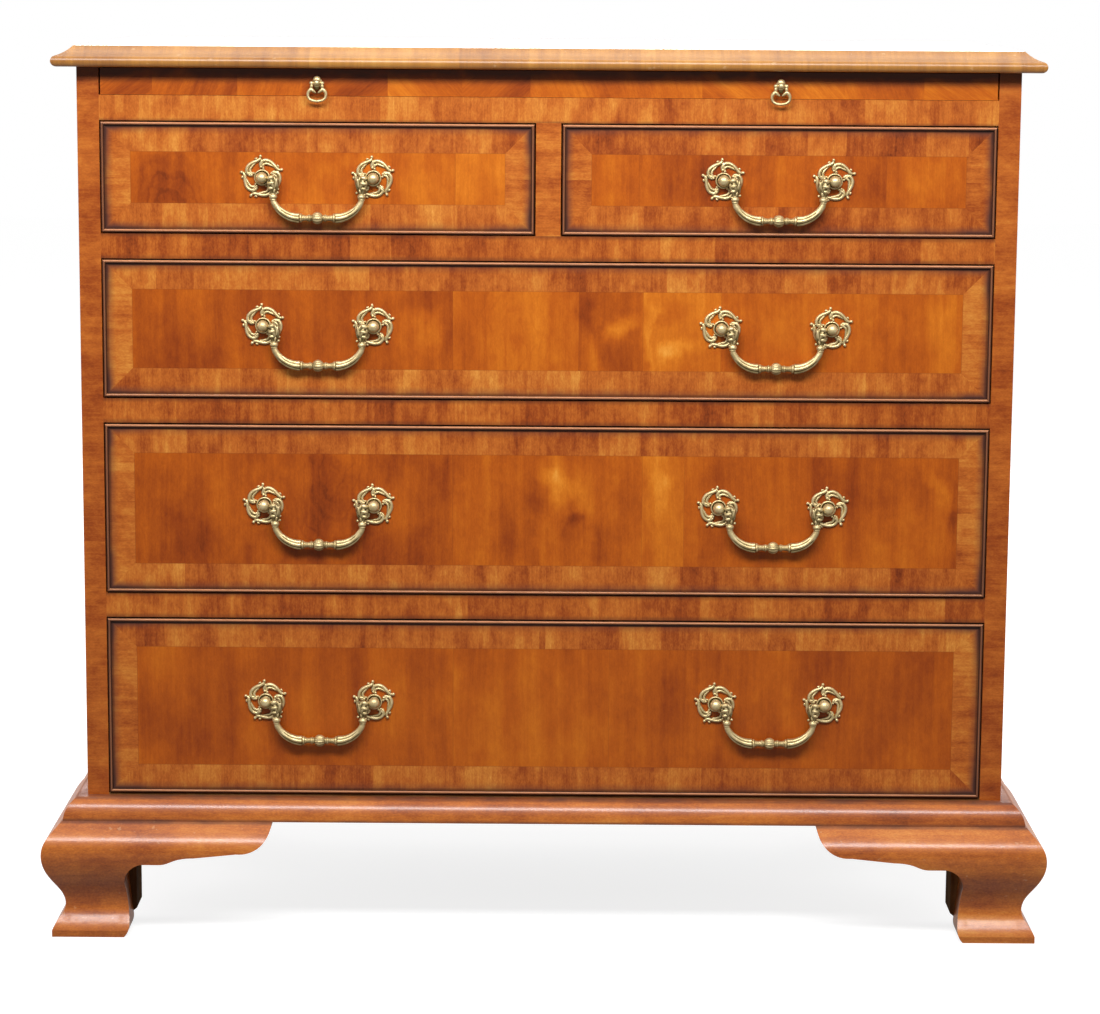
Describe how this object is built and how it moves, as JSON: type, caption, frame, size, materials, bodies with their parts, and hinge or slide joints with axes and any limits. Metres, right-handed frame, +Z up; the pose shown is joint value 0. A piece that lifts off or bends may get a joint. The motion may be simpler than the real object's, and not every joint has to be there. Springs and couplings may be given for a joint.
{
  "type": "chest of drawers",
  "caption": "Low veneered chest of drawers with a brushing slide under its moulded top, short drawers over long graduated ones, swan-neck bail handles and ogee bracket feet.",
  "frame": {"origin": "centre of the footprint on the floor, under the middle of the chest", "axes": "+X to the right of someone facing the drawers, drawers open along -Y, +Z up"},
  "size_m": [0.939, 0.4946, 0.829],
  "materials": {
    "veneer": "french polished",
    "moulding_wood": "french polished",
    "slide_wood": "polished",
    "case_lining": "unfinished",
    "drawer_lining": "waxed",
    "cock_bead": "polished",
    "brass": "aged and lacquered"
  },
  "bodies": {
    "case": {"left_side": "veneer", "right_side": "veneer", "top_panel": "veneer", "centre_divider": "veneer", "drawer_rails": "veneer", "slide_rail": "veneer", "top_moulding": "moulding_wood", "base_moulding": "moulding_wood", "front_left_foot": "moulding_wood", "front_right_foot": "moulding_wood", "rear_left_foot": "moulding_wood", "rear_right_foot": "moulding_wood", "bottom_board": "case_lining", "drawer_runners": "case_lining", "drawer_stops": "case_lining", "back_boards": "case_lining", "foot_blocks": "case_lining"},
    "brushing_slide": {"slide_board": "slide_wood", "slide_front_edge": "slide_wood", "slide_pull_posts": "brass"},
    "left_ring": {"left_slide_ring": "brass"},
    "right_ring": {"right_slide_ring": "brass"},
    "left_short_drawer": {"left_short_front": "veneer", "left_short_sides": "drawer_lining", "left_short_back": "drawer_lining", "left_short_bottom": "drawer_lining", "left_short_cock_bead": "cock_bead", "left_short_handle_mounts": "brass"},
    "left_short_bail_body": {"left_short_bail": "brass"},
    "right_short_drawer": {"right_short_front": "veneer", "right_short_sides": "drawer_lining", "right_short_back": "drawer_lining", "right_short_bottom": "drawer_lining", "right_short_cock_bead": "cock_bead", "right_short_handle_mounts": "brass"},
    "right_short_bail_body": {"right_short_bail": "brass"},
    "upper_long_drawer": {"upper_long_front": "veneer", "upper_long_sides": "drawer_lining", "upper_long_back": "drawer_lining", "upper_long_bottom": "drawer_lining", "upper_long_cock_bead": "cock_bead", "upper_long_handle_mounts": "brass"},
    "upper_long_left_bail_body": {"upper_long_left_bail": "brass"},
    "upper_long_right_bail_body": {"upper_long_right_bail": "brass"},
    "middle_long_drawer": {"middle_long_front": "veneer", "middle_long_sides": "drawer_lining", "middle_long_back": "drawer_lining", "middle_long_bottom": "drawer_lining", "middle_long_cock_bead": "cock_bead", "middle_long_handle_mounts": "brass"},
    "middle_long_left_bail_body": {"middle_long_left_bail": "brass"},
    "middle_long_right_bail_body": {"middle_long_right_bail": "brass"},
    "lower_long_drawer": {"lower_long_front": "veneer", "lower_long_sides": "drawer_lining", "lower_long_back": "drawer_lining", "lower_long_bottom": "drawer_lining", "lower_long_cock_bead": "cock_bead", "lower_long_handle_mounts": "brass"},
    "lower_long_left_bail_body": {"lower_long_left_bail": "brass"},
    "lower_long_right_bail_body": {"lower_long_right_bail": "brass"}
  },
  "joints": [
    {"name": "brushing_slide_travel", "type": "slide", "parent": "case", "child": "brushing_slide", "axis": [0, -1, 0], "range_m": [0, 0.26]},
    {"name": "left_ring_swing", "type": "hinge", "parent": "brushing_slide", "child": "left_ring", "pos_m": [-0.21075, -0.21475, 0.7969], "axis": [-1, 0, 0], "range_deg": [-18, 130]},
    {"name": "right_ring_swing", "type": "hinge", "parent": "brushing_slide", "child": "right_ring", "pos_m": [0.21075, -0.21475, 0.7969], "axis": [-1, 0, 0], "range_deg": [-18, 130]},
    {"name": "left_short_drawer_travel", "type": "slide", "parent": "case", "child": "left_short_drawer", "axis": [0, -1, 0], "range_m": [0, 0.33]},
    {"name": "left_short_bail_swing", "type": "hinge", "parent": "left_short_drawer", "child": "left_short_bail_body", "pos_m": [-0.21075, -0.21575, 0.7105], "axis": [-1, 0, 0], "range_deg": [-3, 180]},
    {"name": "right_short_drawer_travel", "type": "slide", "parent": "case", "child": "right_short_drawer", "axis": [0, -1, 0], "range_m": [0, 0.33]},
    {"name": "right_short_bail_swing", "type": "hinge", "parent": "right_short_drawer", "child": "right_short_bail_body", "pos_m": [0.21075, -0.21575, 0.7105], "axis": [-1, 0, 0], "range_deg": [-3, 180]},
    {"name": "upper_long_drawer_travel", "type": "slide", "parent": "case", "child": "upper_long_drawer", "axis": [0, -1, 0], "range_m": [0, 0.33]},
    {"name": "upper_long_left_bail_swing", "type": "hinge", "parent": "upper_long_drawer", "child": "upper_long_left_bail_body", "pos_m": [-0.21075, -0.21575, 0.5748], "axis": [-1, 0, 0], "range_deg": [-3, 180]},
    {"name": "upper_long_right_bail_swing", "type": "hinge", "parent": "upper_long_drawer", "child": "upper_long_right_bail_body", "pos_m": [0.21075, -0.21575, 0.5748], "axis": [-1, 0, 0], "range_deg": [-3, 180]},
    {"name": "middle_long_drawer_travel", "type": "slide", "parent": "case", "child": "middle_long_drawer", "axis": [0, -1, 0], "range_m": [0, 0.33]},
    {"name": "middle_long_left_bail_swing", "type": "hinge", "parent": "middle_long_drawer", "child": "middle_long_left_bail_body", "pos_m": [-0.21075, -0.21575, 0.4077], "axis": [-1, 0, 0], "range_deg": [-3, 180]},
    {"name": "middle_long_right_bail_swing", "type": "hinge", "parent": "middle_long_drawer", "child": "middle_long_right_bail_body", "pos_m": [0.21075, -0.21575, 0.4077], "axis": [-1, 0, 0], "range_deg": [-3, 180]},
    {"name": "lower_long_drawer_travel", "type": "slide", "parent": "case", "child": "lower_long_drawer", "axis": [0, -1, 0], "range_m": [0, 0.33]},
    {"name": "lower_long_left_bail_swing", "type": "hinge", "parent": "lower_long_drawer", "child": "lower_long_left_bail_body", "pos_m": [-0.21075, -0.21575, 0.2214], "axis": [-1, 0, 0], "range_deg": [-3, 180]},
    {"name": "lower_long_right_bail_swing", "type": "hinge", "parent": "lower_long_drawer", "child": "lower_long_right_bail_body", "pos_m": [0.21075, -0.21575, 0.2214], "axis": [-1, 0, 0], "range_deg": [-3, 180]}
  ]
}
